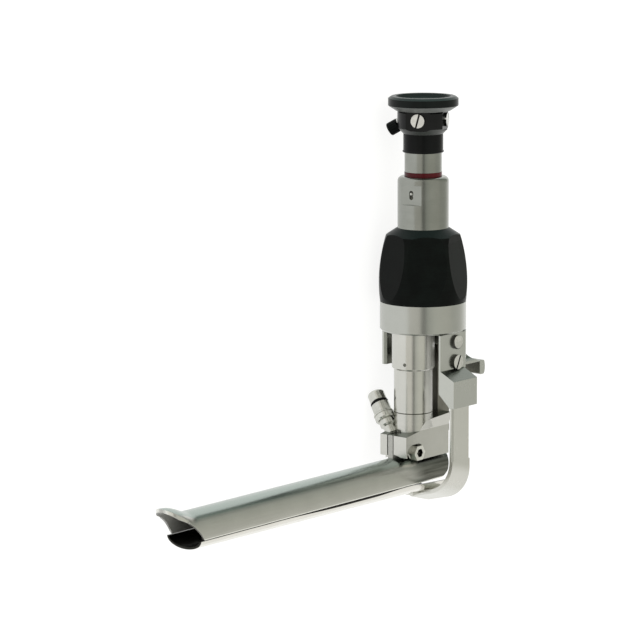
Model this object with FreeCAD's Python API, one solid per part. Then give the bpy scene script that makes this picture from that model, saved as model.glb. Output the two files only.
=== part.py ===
import FreeCAD, Part
import os
from math import cos, pi, radians, sin, sqrt

from FreeCAD import Vector

# A two-bladed mediastinoscope, lying on its right side as it comes to rest.
# While it is built, X points to the rear, Y up the handle and Z to the left of the instrument.
# X = 0 is the tube's axis, Y = 0 the lower edges of the upper blade, Z = 0 the middle plane.
# All sizes are in millimetres.

# Blades
blade_radius = 10.0
blade_wall = 1.0
blade_side_height = 1.3
blade_tip = 151.0
blade_rear = 11.7
blade_rear_lean = 6.5
blade_rear_round = 3.0
beak_reach = 15.6
beak_lift = 2.4
beak_wall = 1.5
beak_nose_radius = 8.0
beak_spread = 0.4
fin_thickness = 2.8
fin_side = 1.75
fin_rear = 3.0
fin_step_rise = 3.6
trough_gap = 0.3
trough_tip = 153.2
trough_wall = 1.0
trough_depth = 5.8
trough_tip_depth = 4.6
trough_heel_depth = 7.2
trough_heel_start = 12.0
trough_heel_drop = 1.6
trough_rear = 12.0

# Clamp block and the lower end of the tube
block_front = 14.3
block_rear = 16.4
block_half_width = 7.7
block_bottom = 9.8
block_front_bottom = 12.1
block_foot_front = 10.5
block_roof_gap = 0.6
block_top = 21.8
block_shoulder = 23.6
shoulder_front = 3.5
block_crown = 29.5
crown_front_drop = 1.3
crown_lean = 0.28
slit_width = 0.5
slit_depth = 7.0
recess_radius = 4.2
recess_depth = 3.4
recess_front = 13.6
bolt_before = 6.0
bolt_rise = 2.3
bolt_radius = 1.5
bolt_head_flats = 6.6
bolt_head_height = 3.9
bolt_socket_flats = 3.6
bolt_socket_depth = 2.2
slot_deep = 0.7
slot_turn = (75.0, 65.0)
nut_recess = 1.0
nut_clearance = 0.4
washer_height = 0.8
washer_radius = 3.7
washer_flat = 3.1
nut_height = 2.2

# Tube
tube_radius = 8.9
tube_wall = 1.3
tube_joint = 31.3
tube_into_ring = 5.2
socket_radius = 9.85
socket_bottom = 51.2
socket_chamfer = 0.8
dimple_radius = 0.8
dimple_depth = 0.5
dimple_height = 54.2
dimple_angle = -16.0

# Handle, from the ring's underside up
handle_offset = 7.0
ring_bottom = 68.5
ring_radius = 19.8
ring_height = 13.3
ring_edge = 0.8
ring_floor = 6.0
grip_height = 33.9
grip_foot_radius = 19.8
grip_shoulder_radius = 17.0
grip_shoulder_drop = 3.4
grip_belly = 0.85
grip_flats = 6
grip_flat_low = 2.0
grip_flat_high = 28.0
grip_flat_inset = 3.8
grip_flat_turn = 45.0
body_radius = 11.7
body_height = 23.6
body_bore = 7.4
body_round = 2.2
spigot_radius = 9.5
flat_width = 11.0
flat_height = 9.0
flat_drop = 3.4
flat_depth = 1.3
flat_turn = -8.0
slot_width = 2.0
slot_length = 4.2
slot_depth = 1.6
pin_radius = 0.8
code_ring_radius = 8.6
code_ring_height = 2.0
marking_ring_radius = 8.5
marking_ring_height = 8.9
sleeve_radius = 9.1
sleeve_height = 8.5
sleeve_foot = 0.35
collar_radius = 11.8
collar_height = 10.6
collar_chamfer = 2.7
collar_flat_width = 11.5
collar_flat_depth = 1.5
collar_flat_ledge = 1.9
screw_radius = 3.15
screw_height = 1.2
screw_slot = 0.8
screw_shank_radius = 1.2
screw_drop = 4.0
screw_turn = 64.0
knob_place = 1
cup_radius = 16.0
cup_band = 4.5
cup_neck_radius = 12.6
cup_neck_height = 2.0
cup_bevel = 1.0
cup_mouth_radius = 12.6
cup_mouth_depth = 1.6
window_radius = 6.0
window_thickness = 1.5
knob_radius = 3.1
knob_length = 5.2
knob_washer_radius = 3.0
knob_washer_length = 1.0
knob_stem_radius = 1.3
knob_tilt = 30.0
knob_flutes = 16
knob_flute_radius = 0.5
knob_flute_out = 0.28
knob_plain = 0.8
knob_height = 1.8
knob_sink = 1.6
knob_stem_reach = 1.2

# Column, yoke and bar
column_front = 12.2
column_rear = 20.6
column_half_width = 4.6
column_sink = 4.0
tooth_pitch = 2.0
tooth_depth = 0.7
tooth_count = 9
yoke_clearance = 0.3
slide_clearance = 0.05
cheek_outer = 17.2
cheek_thickness = 2.0
cheek_front = 1.5
cheek_bottom = 51.3
cheek_edge = 1.0
bridge_rise = 6.7
bridge_front = 16.2
guide_wall = 1.8
boss_reach = 7.8
boss_top = 51.7
boss_slope_drop = 3.9
boss_bottom = 35.3
boss_taper_height = 5.9
boss_length = 17.0
bar_thickness = 1.8
bar_width = 12.5
bar_front = -1.3
bar_inset = 0.7
bar_into_boss = 9.0
bar_bend_radius = 16.1
bar_bend_height = 7.0
bar_bend_slant = 3.7
bar_bend_angle = 75.0
bar_foot_reach = 6.0
bar_tail_length = 6.2
bar_tail_end = 6.6
bar_edge = 0.8

# Lever
pivot_behind = 10.0
pivot_drop = 13.7
pivot_head_radius = 3.35
pivot_head_height = 1.5
pivot_shank_radius = 1.8
pivot_slot = 0.9
stop_radius = 3.3
stop_rise = 9.2
stop_round = 0.5
lever_hub_radius = 3.0
lever_side_gap = 0.3
lever_arm_thickness = 3.4
web_lean = 1.6
paddle_front = 30.4
paddle_thickness = 3.3
paddle_drop = 2.7
paddle_height = 6.5
wing_edge = 1.3
wing_bulge = 3.5
rib_half_width = 5.0
rib_depth = 4.6
pawl_height = 5.2
spring_wire = 0.5
spring_turns = 4
spring_room = 3.4

# Light post
post_front = 8.0
post_seat = 0.2
post_lean_side = 0.624
post_lean_rear = 0.215
post_sink = 3.0
post_neck_radius = 2.7
post_foot_radius = 3.7
post_belt_radius = 4.8
post_body_radius = 4.3
post_groove_radius = 3.3
post_cap_radius = 4.0
post_foot_length = 4.6
post_belt_length = 3.6
post_body_length = 5.0
post_groove_length = 0.9
post_cap_length = 5.4
post_fine_groove = 0.35

# Optics
optic_radius = 2.5
optic_wall = 0.4
optic_end = 0.6
optic_behind = 4.5
distal_setback = 24.0
lens_setback = 8.0
lens_gap = 1.5
relay_top = 88.0
relay_setback = 4.0
relay_cover = 2.0
prism_height = 7.0
prism_half_width = 3.8
ocular_radius = 5.2
ocular_wall = 0.8
lens_half = 1.6
lens_sag = 1.0
guide_radius = 1.0
guide_side = 5.4
fit = 0.05

# Levels of the handle
ring_top = ring_bottom + ring_height
grip_top = ring_top + grip_height
body_top = grip_top + body_height
code_ring_top = body_top + code_ring_height
marking_ring_top = code_ring_top + marking_ring_height
sleeve_top = marking_ring_top + sleeve_height
collar_top = sleeve_top + collar_height
cup_top = collar_top + cup_neck_height + cup_band
screw_inner = body_bore + 0.4
roof_inner = blade_side_height + blade_radius - blade_wall
optic_height = roof_inner - optic_radius
cheek_inner = cheek_outer - cheek_thickness
boss_outer = cheek_outer + boss_reach
bar_outer = boss_outer - bar_inset
bar_inner = bar_outer - bar_thickness
bolt_x = -bolt_before
bolt_height = blade_side_height + blade_radius + bolt_rise
fin_back = bolt_x + fin_rear
fin_step = bolt_height + fin_step_rise
pivot_height = ring_bottom - pivot_drop
stop_height = pivot_height + stop_rise
paddle_top = pivot_height - paddle_drop
post_start_height = block_shoulder - post_seat
bridge_bottom = pivot_height + bridge_rise
yoke_rear = handle_offset + ring_radius + 1
cheek_rear = handle_offset + sqrt(ring_radius ** 2 - cheek_inner ** 2)
front_slot_rear = -block_front + slit_depth
fin_low = -fin_side - fin_thickness / 2
fin_high = -fin_side + fin_thickness / 2

up = Vector(0, 1, 0)
left = Vector(0, 0, 1)


def outline(points):
    # Points in order; a pair (mid, end) in the list stands for an arc to its end.
    edges = []
    here = Vector(*points[0])
    for point in points[1:]:
        if isinstance(point[0], tuple):
            middle = Vector(*point[0])
            end = Vector(*point[1])
            edges.append(Part.Arc(here, middle, end).toShape())
        else:
            end = Vector(*point)
            edges.append(Part.LineSegment(here, end).toShape())
        here = end
    start = Vector(*points[0])
    if here.distanceToPoint(start) > 1e-6:
        edges.append(Part.LineSegment(here, start).toShape())
    return Part.Wire(edges)


def turned(profile, axis_x, turn=360):
    # Profile of (radius, height) pairs, revolved about an upright axis.
    def place(pair):
        return (axis_x + pair[0], pair[1], 0)

    points = []
    for item in profile:
        if isinstance(item[0], tuple):
            points.append((place(item[0]), place(item[1])))
        else:
            points.append(place(item))
    return Part.Face(outline(points)).revolve(Vector(axis_x, 0, 0), up, turn)


def side_plate(profile, low, high):
    # Profile of (x, y) pairs, spanning from low to high across the instrument.
    def place(pair):
        return (pair[0], pair[1], low)

    points = []
    for item in profile:
        if isinstance(item[0], tuple):
            points.append((place(item[0]), place(item[1])))
        else:
            points.append(place(item))
    return Part.Face(outline(points)).extrude(Vector(0, 0, high - low))


def front_plate(profile, front, rear):
    # Profile of (z, y) pairs, spanning from front to rear.
    def place(pair):
        return (front, pair[1], pair[0])

    points = []
    for item in profile:
        if isinstance(item[0], tuple):
            points.append((place(item[0]), place(item[1])))
        else:
            points.append(place(item))
    return Part.Face(outline(points)).extrude(Vector(rear - front, 0, 0))


def block(x0, x1, y0, y1, z0, z1):
    return Part.makeBox(x1 - x0, y1 - y0, z1 - z0, Vector(x0, y0, z0))


def upright(radius, low, high, x=0.0, z=0.0):
    return Part.makeCylinder(radius, high - low, Vector(x, low, z), up)


def across(radius, x, y, low, high):
    return Part.makeCylinder(radius, high - low, Vector(x, y, low), left)


def pipe(outer, inner, low, high, x=0.0):
    return upright(outer, low, high, x).cut(upright(inner, low, high, x))


def slotted(head, axis_point, direction, top, radius, width, turn):
    # A driver slot across the top of a head that points along direction.
    slot = Part.makeBox(4 * radius, width, 2 * slot_deep, Vector(-2 * radius, -width / 2, -slot_deep))
    slot.rotate(Vector(0, 0, 0), Vector(0, 0, 1), turn)
    rotation = FreeCAD.Rotation(Vector(0, 0, 1), direction)
    slot.Placement = FreeCAD.Placement(axis_point + direction * top, rotation).multiply(slot.Placement)
    return head.cut(slot)


def hexagon(flats, height, centre, direction):
    corner = flats / sqrt(3)
    points = []
    for step in range(7):
        angle = radians(60 * step)
        points.append(Vector(corner * cos(angle), corner * sin(angle), 0))
    prism = Part.Face(Part.makePolygon(points)).extrude(Vector(0, 0, height))
    prism.Placement = FreeCAD.Placement(centre, FreeCAD.Rotation(Vector(0, 0, 1), direction))
    return prism


def around(degrees_from_left):
    # Direction square to the handle, counted from the left towards the front.
    angle = radians(degrees_from_left)
    return Vector(-sin(angle), 0, cos(angle))


def facing_turn(facing):
    # Turns a shape so that its X runs sideways, its Y up and its Z along facing.
    return FreeCAD.Rotation(facing.cross(up) * -1, up, facing, "ZYX")


def at_handle(height):
    return Vector(handle_offset, height, 0)


# Blades


def arch_section(x, radius, wall, lift):
    # Closed section of the half tube at one place along the blade.
    side = blade_side_height
    inner = radius - wall
    crown = side + radius + lift

    def arch(half, high):
        return Part.Arc(Vector(x, side, half), Vector(x, high, 0), Vector(x, side, -half)).toShape()

    def straight(y0, z0, y1, z1):
        return Part.LineSegment(Vector(x, y0, z0), Vector(x, y1, z1)).toShape()

    edges = [
        straight(0, radius, side, radius),
        arch(radius, crown),
        straight(side, -radius, 0, -radius),
        straight(0, -radius, 0, -inner),
        straight(0, -inner, side, -inner),
        arch(inner, crown - wall),
        straight(side, inner, 0, inner),
        straight(0, inner, 0, radius),
    ]
    return Part.Wire(Part.__sortEdges__(edges))


def half_tube(front, rear):
    section = Part.Face(arch_section(front, blade_radius, blade_wall, 0))
    return section.extrude(Vector(rear - front, 0, 0))


def beak():
    # The roof runs on past the lower corners, lifts and thickens into a rounded lip.
    start = -blade_tip
    reach = beak_reach
    sections = []
    steps = ((0, 0, 0), (0.12, 0.04, 0.2), (0.33, 0.4, 0.6), (0.58, 0.95, 0.9), (1.06, 1.15, 1))
    for share, lift_share, wall_share in steps:
        wall = blade_wall + (beak_wall - blade_wall) * wall_share
        radius = blade_radius + beak_spread * lift_share
        x = start - reach * share
        sections.append(arch_section(x, radius, wall, beak_lift * lift_share))
    lip = Part.makeLoft(sections, True, False)
    side = [
        (-blade_tip, 0),
        (
            (-blade_tip - 0.32 * beak_reach, 0.62 * roof_inner),
            (-blade_tip - 0.64 * beak_reach, 0.93 * roof_inner),
        ),
        (-blade_tip - 1.2 * beak_reach, roof_inner + beak_lift + 0.8),
        (-blade_tip - 1.4 * beak_reach, -2),
        (-blade_tip, -2),
    ]
    lip = lip.cut(side_plate(side, -2 * blade_radius, 2 * blade_radius))
    nose_middle = -blade_tip - beak_reach + beak_nose_radius
    nose = upright(beak_nose_radius, -blade_radius, 4 * blade_radius, nose_middle)
    wide = 2 * blade_radius
    keep = nose.fuse(block(nose_middle, start + 1, -blade_radius, 2 * wide, -wide, wide))
    return lip.common(keep)


def make_upper_blade():
    rear_top = blade_rear + blade_rear_lean
    tube = half_tube(-blade_tip, rear_top + 2)
    corner = blade_rear - blade_rear_round
    lean = blade_rear_lean / (blade_side_height + blade_radius)
    rear_cut = [
        (corner, 0),
        (
            (blade_rear - 0.3 * blade_rear_round, 0.3 * blade_rear_round),
            (blade_rear + lean * blade_rear_round, blade_rear_round),
        ),
        (rear_top, blade_side_height + blade_radius),
        (rear_top + 2, blade_radius + 9),
        (rear_top + 9, blade_radius + 9),
        (rear_top + 9, -5),
        (corner, -5),
    ]
    tube = tube.cut(side_plate(rear_cut, -2 * blade_radius, 2 * blade_radius))
    fin_foot = roof_inner + 0.1 * blade_wall
    fin = side_plate(
        [
            (-block_front, fin_foot),
            (-block_front, block_top),
            (front_slot_rear, block_top),
            (front_slot_rear, fin_step),
            (fin_back, fin_step),
            (fin_back, fin_foot),
        ],
        fin_low,
        fin_high,
    )
    blade = tube.fuse(beak()).fuse(fin)
    blade = blade.cut(across(bolt_radius + fit, bolt_x, bolt_height, fin_low - 1, fin_high + 1))
    over = 2 * blade_radius
    blade = blade.cut(upright(optic_radius + fit, 0, over, optic_behind))
    blade = blade.cut(upright(guide_radius + fit, blade_side_height, over, guide_x(), -guide_side))
    return blade.removeSplitter()


def trough_section(x, depth, top):
    # Shallow oval section of the lower blade at one place along it.
    def half_oval(half_width, deep):
        side = Vector(x, top, half_width)
        whole = Part.Ellipse(side, Vector(x, top - deep, 0), Vector(x, top, 0))
        return Part.ArcOfEllipse(whole, 0, pi).toShape()

    inner_half = blade_radius - trough_wall
    return [
        half_oval(blade_radius, depth),
        Part.LineSegment(Vector(x, top, -blade_radius), Vector(x, top, -inner_half)).toShape(),
        half_oval(inner_half, depth - trough_wall),
        Part.LineSegment(Vector(x, top, inner_half), Vector(x, top, blade_radius)).toShape(),
    ]


def trough_shell(section):
    # Even along the blade, then deepening towards the heel.
    heel = -trough_heel_start
    along = [section(-trough_tip, trough_tip_depth), section(heel, trough_depth)]
    body = Part.makeLoft(along, True, True)
    ends = [section(heel, trough_depth), section(trough_rear, trough_heel_depth)]
    return body.fuse(Part.makeLoft(ends, True, True))


def make_lower_blade():
    top = -trough_gap

    def section(x, depth):
        return Part.Wire(Part.__sortEdges__(trough_section(x, depth, top)))

    drop = side_plate(
        [
            (-trough_heel_start, top + 1),
            (-trough_heel_start, top),
            (-0.4 * trough_heel_start, top - 0.4 * trough_heel_drop),
            (trough_rear + 1, top - trough_heel_drop),
            (trough_rear + 1, top + 1),
        ],
        -2 * blade_radius,
        2 * blade_radius,
    )
    return trough_shell(section).cut(drop).removeSplitter()


# Clamp block


def make_prism_block():
    side = [
        (-block_foot_front, block_bottom),
        (-block_foot_front, block_front_bottom),
        (-block_front, block_front_bottom),
        (-block_front, block_top),
        (-shoulder_front, block_shoulder),
        (block_rear, block_shoulder),
        (block_rear, block_bottom),
    ]
    body = side_plate(side, -block_half_width, block_half_width)
    # Above the shoulder the sides lean out, until they are as wide as the tube
    rise = tube_joint - block_shoulder
    wide = block_half_width + crown_lean * rise
    leaning = front_plate(
        [
            (-block_half_width, block_bottom),
            (-block_half_width, block_shoulder),
            (-wide, tube_joint),
            (wide, tube_joint),
            (block_half_width, block_shoulder),
            (block_half_width, block_bottom),
        ],
        -block_front,
        block_rear,
    )
    web = side_plate(
        [
            (0, block_bottom),
            (0, block_crown - crown_front_drop),
            (block_rear, block_crown),
            (block_rear, block_bottom),
        ],
        -wide,
        wide,
    )
    neck = upright(tube_radius, block_bottom, tube_joint)
    body = body.fuse(web.fuse(neck).common(leaning))
    body = body.cut(upright(tube_radius - tube_wall, block_crown - 3, tube_joint + 1))
    # Hollow over the roof of the blade
    roof = Part.makeCylinder(
        blade_radius + 1 + block_roof_gap,
        block_front + block_rear + 2,
        Vector(-block_front - 1, blade_side_height, 0),
        Vector(1, 0, 0),
    )
    body = body.cut(roof)
    # Slot for the fin, with a slit on each side at the front
    body = body.cut(block(-block_front - 1, fin_back, 0, fin_step + fit, fin_low - fit, fin_high + fit))
    slit_low = fin_low - slit_width
    slit_high = fin_high + slit_width
    body = body.cut(block(-block_front - 1, front_slot_rear, 0, block_shoulder, slit_low, slit_high))
    body = body.cut(upright(slit_width, 0, block_shoulder, front_slot_rear, fin_low - slit_width / 2))
    # Long recess for the bolt head
    side = block_half_width
    floor = side - recess_depth
    pocket_front = recess_radius - recess_front
    pocket_low = bolt_height - recess_radius
    pocket = block(pocket_front, bolt_x, pocket_low, bolt_height + recess_radius, floor, side + 1)
    pocket = pocket.fuse(across(recess_radius, bolt_x, bolt_height, floor, side + 1))
    pocket = pocket.fuse(across(recess_radius, pocket_front, bolt_height, floor, side + 1))
    body = body.cut(pocket)
    body = body.cut(across(bolt_radius + fit, bolt_x, bolt_height, -side - 1, side + 1))
    nut_room = bolt_head_flats / sqrt(3) + nut_clearance
    body = body.cut(across(nut_room, bolt_x, bolt_height, -side - 1, nut_recess - side))
    # Passages for the optic, the fibre bundle and the light post
    body = body.cut(upright(optic_radius + fit, 0, tube_joint, optic_behind))
    body = body.cut(upright(guide_radius + fit, 0, guide_top(), guide_x(), -guide_side))
    body = body.cut(post_turned([(0, -post_sink)] + post_base_outside() + [(0, post_base_top())]))
    return body.cut(column_bar(block_shoulder - column_sink, block_crown + 1)).removeSplitter()


def make_clamp_bolt():
    seat = block_half_width - recess_depth + washer_height
    head = hexagon(bolt_head_flats, bolt_head_height, Vector(bolt_x, bolt_height, seat), left)
    centre = Vector(bolt_x, bolt_height, seat)
    socket = hexagon(bolt_socket_flats, bolt_head_height, centre, left)
    socket.translate(left * (bolt_head_height - bolt_socket_depth))
    head = head.cut(socket)
    shank = across(bolt_radius, bolt_x, bolt_height, nut_recess - nut_height - block_half_width, seat)
    return head.fuse(shank).removeSplitter()


def make_clamp_washer():
    seat = block_half_width - recess_depth
    ring = across(washer_radius, bolt_x, bolt_height, seat, seat + washer_height)
    ring = ring.cut(across(bolt_radius + fit, bolt_x, bolt_height, seat - 1, seat + 2))
    # A flat keeps it clear of the blade's roof
    low = bolt_height - washer_flat
    side = 2 * washer_radius
    return ring.cut(block(bolt_x - side, bolt_x + side, 0, low, seat - 1, seat + 2))


def make_clamp_nut():
    seat = nut_recess - block_half_width
    nut = hexagon(bolt_head_flats, nut_height, Vector(bolt_x, bolt_height, seat - nut_height), left)
    return nut.cut(across(bolt_radius + fit, bolt_x, bolt_height, seat - nut_height - 1, seat + 1))


# Tube and handle


def make_main_tube():
    return pipe(tube_radius, tube_radius - tube_wall, tube_joint, ring_bottom + tube_into_ring)


def make_tube_socket():
    profile = [
        (tube_radius, socket_bottom),
        (socket_radius - socket_chamfer, socket_bottom),
        (socket_radius, socket_bottom + socket_chamfer),
        (socket_radius, ring_bottom),
        (tube_radius, ring_bottom),
    ]
    socket = turned(profile, 0)
    facing = around(90 + dimple_angle)
    start = Vector(0, dimple_height, 0) + facing * (socket_radius - dimple_depth)
    return socket.cut(Part.makeCylinder(dimple_radius, 2, start, facing))


def make_support_ring():
    profile = [
        (0, ring_bottom),
        (ring_radius - ring_edge, ring_bottom),
        (ring_radius, ring_bottom + ring_edge),
        (ring_radius, ring_top),
        (0, ring_top),
    ]
    ring = turned(profile, handle_offset)
    ring = ring.cut(upright(spigot_radius, ring_bottom + ring_floor, ring_top + 1, handle_offset))
    ring = ring.cut(upright(tube_radius, ring_bottom - 1, ring_bottom + tube_into_ring))
    through = upright(tube_radius - tube_wall, ring_bottom - 1, ring_top + 1)
    through = through.common(upright(spigot_radius, ring_bottom - 1, ring_top + 1, handle_offset))
    ring = ring.cut(through)
    return ring.cut(column_bar(ring_bottom - 1, ring_bottom + tube_into_ring))


def make_grip():
    waist = grip_top - grip_shoulder_drop
    profile = [
        (spigot_radius, ring_top),
        (grip_foot_radius - 0.3, ring_top),
        (grip_foot_radius, ring_top + 0.6),
        (
            (0.5 * (grip_foot_radius + grip_shoulder_radius) + grip_belly, ring_top + 0.62 * grip_height),
            (grip_shoulder_radius, waist),
        ),
        (body_radius + 0.4, grip_top - 0.2),
        (body_radius, grip_top),
        (spigot_radius, grip_top),
    ]
    grip = turned(profile, handle_offset)
    low = ring_top + grip_flat_low
    high = ring_top + grip_flat_high
    for index in range(grip_flats):
        cutter = side_plate(
            [
                (grip_foot_radius, low),
                (grip_foot_radius - grip_flat_inset, high),
                (grip_foot_radius - grip_flat_inset - 0.6, grip_top + 2),
                (grip_foot_radius + 9, grip_top + 2),
                (grip_foot_radius + 9, low),
            ],
            -grip_foot_radius,
            grip_foot_radius,
        )
        cutter.translate(Vector(handle_offset, 0, 0))
        cutter.rotate(at_handle(0), up, grip_flat_turn + 360 * index / grip_flats)
        grip = grip.cut(cutter)
    return grip


def make_upper_body():
    round_low = body_top - body_round
    spread = body_round * sqrt(0.5)
    profile = [
        (body_bore, ring_bottom + ring_floor),
        (spigot_radius, ring_bottom + ring_floor),
        (spigot_radius, grip_top),
        (body_radius, grip_top),
        (body_radius, round_low),
        ((body_radius - body_round + spread, round_low + spread), (body_radius - body_round, body_top)),
        (body_bore, body_top),
    ]
    body = turned(profile, handle_offset)
    facing = around(90 + flat_turn)
    high = body_top - flat_drop
    window = Part.makeBox(flat_width, flat_height, 6, Vector(-flat_width / 2, -flat_height / 2, 0))
    straight = slot_length - slot_width
    slot = Part.makeBox(slot_width, straight, 6, Vector(-slot_width / 2, -straight / 2, 0))
    for end in (-1, 1):
        middle = Vector(0, end * straight / 2, 0)
        slot = slot.fuse(Part.makeCylinder(slot_width / 2, 6, middle))
    turn = facing_turn(facing)
    centre = at_handle(high - flat_height / 2)
    window.Placement = FreeCAD.Placement(centre + facing * (body_radius - flat_depth), turn)
    slot.Placement = FreeCAD.Placement(centre + facing * (body_radius - flat_depth - slot_depth), turn)
    return body.cut(window).cut(slot)


def make_index_pin():
    facing = around(90 + flat_turn)
    centre = at_handle(body_top - flat_drop - flat_height / 2 + 0.6)
    start = centre + facing * (body_radius - flat_depth - slot_depth)
    pin = Part.makeCylinder(pin_radius, slot_depth - 0.3, start, facing)
    dome = Part.makeSphere(pin_radius, start + facing * (slot_depth - 0.3))
    return pin.fuse(dome).removeSplitter()


def make_code_ring():
    return pipe(code_ring_radius, body_bore, body_top, code_ring_top, handle_offset)


def make_marking_ring():
    return pipe(marking_ring_radius, body_bore, code_ring_top, marking_ring_top, handle_offset)


def make_eyepiece_sleeve():
    profile = [
        (body_bore, marking_ring_top),
        (sleeve_radius, marking_ring_top),
        (sleeve_radius + sleeve_foot, marking_ring_top + sleeve_foot),
        (sleeve_radius + sleeve_foot, marking_ring_top + 1.6 * sleeve_foot),
        (sleeve_radius, marking_ring_top + 3 * sleeve_foot),
        (sleeve_radius, sleeve_top),
        (body_bore, sleeve_top),
    ]
    return turned(profile, handle_offset)


def collar_direction(index):
    return around(screw_turn + 90 * index)


def screw_centre():
    return at_handle(collar_top - screw_drop)


def knob_axis():
    flat = collar_direction(knob_place)
    tilt = radians(knob_tilt)
    return flat * cos(tilt) - up * sin(tilt)


def knob_start():
    outward = collar_direction(knob_place) * (collar_radius - knob_sink)
    return at_handle(sleeve_top + knob_height + collar_chamfer) + outward


def make_eyepiece_collar():
    profile = [
        (body_bore, sleeve_top),
        (collar_radius - collar_chamfer, sleeve_top),
        (collar_radius, sleeve_top + collar_chamfer),
        (collar_radius, collar_top - 0.8),
        (collar_radius - 0.5, collar_top),
        (body_bore, collar_top),
    ]
    collar = turned(profile, handle_offset)
    for index in range(4):
        facing = collar_direction(index)
        flat = Part.makeBox(collar_flat_width, collar_height, 6, Vector(-collar_flat_width / 2, 0, 0))
        foot = at_handle(sleeve_top + collar_flat_ledge) + facing * (collar_radius - collar_flat_depth)
        flat.Placement = FreeCAD.Placement(foot, facing_turn(facing))
        if index != knob_place:
            collar = collar.cut(flat)
            start = screw_centre() + facing * screw_inner
            bore = Part.makeCylinder(screw_shank_radius, collar_radius, start, facing)
            collar = collar.cut(bore)
    stem_end = knob_start() - knob_axis() * (knob_stem_reach + yoke_clearance)
    stem = Part.makeCylinder(knob_stem_radius + fit, 2 * collar_radius, stem_end, knob_axis())
    seat = Part.makeCylinder(knob_washer_radius + 0.2, 8, knob_start(), knob_axis())
    return collar.cut(stem).cut(seat)


def make_collar_screws():
    screws = []
    for index in range(4):
        if index == knob_place:
            continue
        facing = collar_direction(index)
        seat = collar_radius - collar_flat_depth
        centre = screw_centre()
        head = Part.makeCylinder(screw_radius, screw_height, centre + facing * seat, facing)
        foot = centre + facing * seat
        head = slotted(head, foot, facing, screw_height, screw_radius, screw_slot, slot_turn[0])
        reach = seat - screw_inner
        shank = Part.makeCylinder(screw_shank_radius, reach, centre + facing * screw_inner, facing)
        screws.append(head.fuse(shank).removeSplitter())
    return Part.makeCompound(screws)


def make_knob_washer():
    washer = Part.makeCylinder(knob_washer_radius, knob_washer_length, knob_start(), knob_axis())
    start = knob_start() - knob_axis()
    return washer.cut(Part.makeCylinder(knob_stem_radius + fit, knob_length, start, knob_axis()))


def make_lock_knob():
    start = knob_start() + knob_axis() * (knob_washer_length + yoke_clearance)
    knob = Part.makeCylinder(knob_radius, knob_length, start, knob_axis())
    rim = knob.Edges
    knob = knob.makeFillet(0.5, [edge for edge in rim if edge.Curve.TypeId == "Part::GeomCircle"])
    sideways = knob_axis().cross(up)
    sideways.normalize()
    low = start + knob_axis() * knob_plain
    for index in range(knob_flutes):
        turn = FreeCAD.Rotation(knob_axis(), 360 * index / knob_flutes)
        foot = low + turn.multVec(sideways) * (knob_radius + knob_flute_out)
        flute = Part.makeCylinder(knob_flute_radius, knob_length - 2 * knob_plain, foot, knob_axis())
        knob = knob.cut(flute)
    stem_length = knob_washer_length + yoke_clearance + knob_stem_reach
    inside = start - knob_axis() * stem_length
    stem = Part.makeCylinder(knob_stem_radius, stem_length, inside, knob_axis())
    return knob.fuse(stem).removeSplitter()


def make_eyepiece_cup():
    band_low = cup_top - cup_band
    floor = cup_top - cup_mouth_depth
    profile = [
        (cup_neck_radius, collar_top),
        (cup_radius - 0.3, band_low),
        (cup_radius, band_low + 0.3),
        (cup_radius, cup_top - cup_bevel),
        (cup_radius - cup_bevel, cup_top - 0.25),
        (cup_radius - cup_bevel - 0.5, cup_top),
        (cup_mouth_radius, cup_top),
        (cup_mouth_radius - 0.8, floor),
        (window_radius + 1.0, floor - 1.0),
        (window_radius, floor - 1.0),
        (window_radius, floor - 1.0 - window_thickness),
        (window_radius - 0.8, floor - 1.0 - window_thickness),
        (window_radius - 0.8, collar_top),
    ]
    return turned(profile, handle_offset)


def make_eyepiece_window():
    top = cup_top - cup_mouth_depth - 1.0
    return upright(window_radius, top - window_thickness, top, handle_offset)


def make_ocular_tube():
    low = relay_top + prism_height + 2
    tube = pipe(ocular_radius, ocular_radius - ocular_wall, low, collar_top, handle_offset)
    flange = pipe(body_bore, ocular_radius, marking_ring_top - 3, marking_ring_top, handle_offset)
    return tube.fuse(flange).removeSplitter()


def make_ocular_lens():
    radius = ocular_radius - ocular_wall
    ball = (radius ** 2 + lens_sag ** 2) / (2 * lens_sag)
    lens = upright(radius, marking_ring_top - lens_half, marking_ring_top + lens_half, handle_offset)
    for side in (-1, 1):
        centre = at_handle(marking_ring_top + side * (lens_half - ball))
        lens = lens.common(Part.makeSphere(ball, centre))
    return lens


def make_offset_prism():
    half = prism_half_width
    return side_plate(
        [
            (optic_behind - half, relay_top),
            (optic_behind + half, relay_top),
            (handle_offset + half, relay_top + prism_height),
            (handle_offset - half, relay_top + prism_height),
        ],
        -half,
        half,
    )


def make_prism_mount():
    low = relay_top - 2
    mount = upright(body_bore, low, relay_top + prism_height + 2, handle_offset)
    mount = mount.cut(make_offset_prism())
    mount = mount.cut(upright(optic_radius, low - 1, relay_top, optic_behind))
    high = relay_top + prism_height
    return mount.cut(upright(ocular_radius - ocular_wall, high, cup_top, handle_offset))


# Column, yoke and bar


def column_bar(low, high):
    return block(column_front, column_rear, low, high, -column_half_width, column_half_width)


def make_guide_column():
    column = column_bar(block_shoulder - column_sink, ring_bottom + tube_into_ring)
    first = pivot_height + pawl_height - tooth_pitch * (tooth_count - 2)
    for index in range(tooth_count):
        step = first + tooth_pitch * index
        notch = side_plate(
            [
                (column_rear + 0.1, step - 0.3 * tooth_pitch),
                (column_rear - tooth_depth, step + 0.2 * tooth_pitch),
                (column_rear + 0.1, step + 0.35 * tooth_pitch),
            ],
            -column_half_width - 1,
            column_half_width + 1,
        )
        column = column.cut(notch)
    return column


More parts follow.
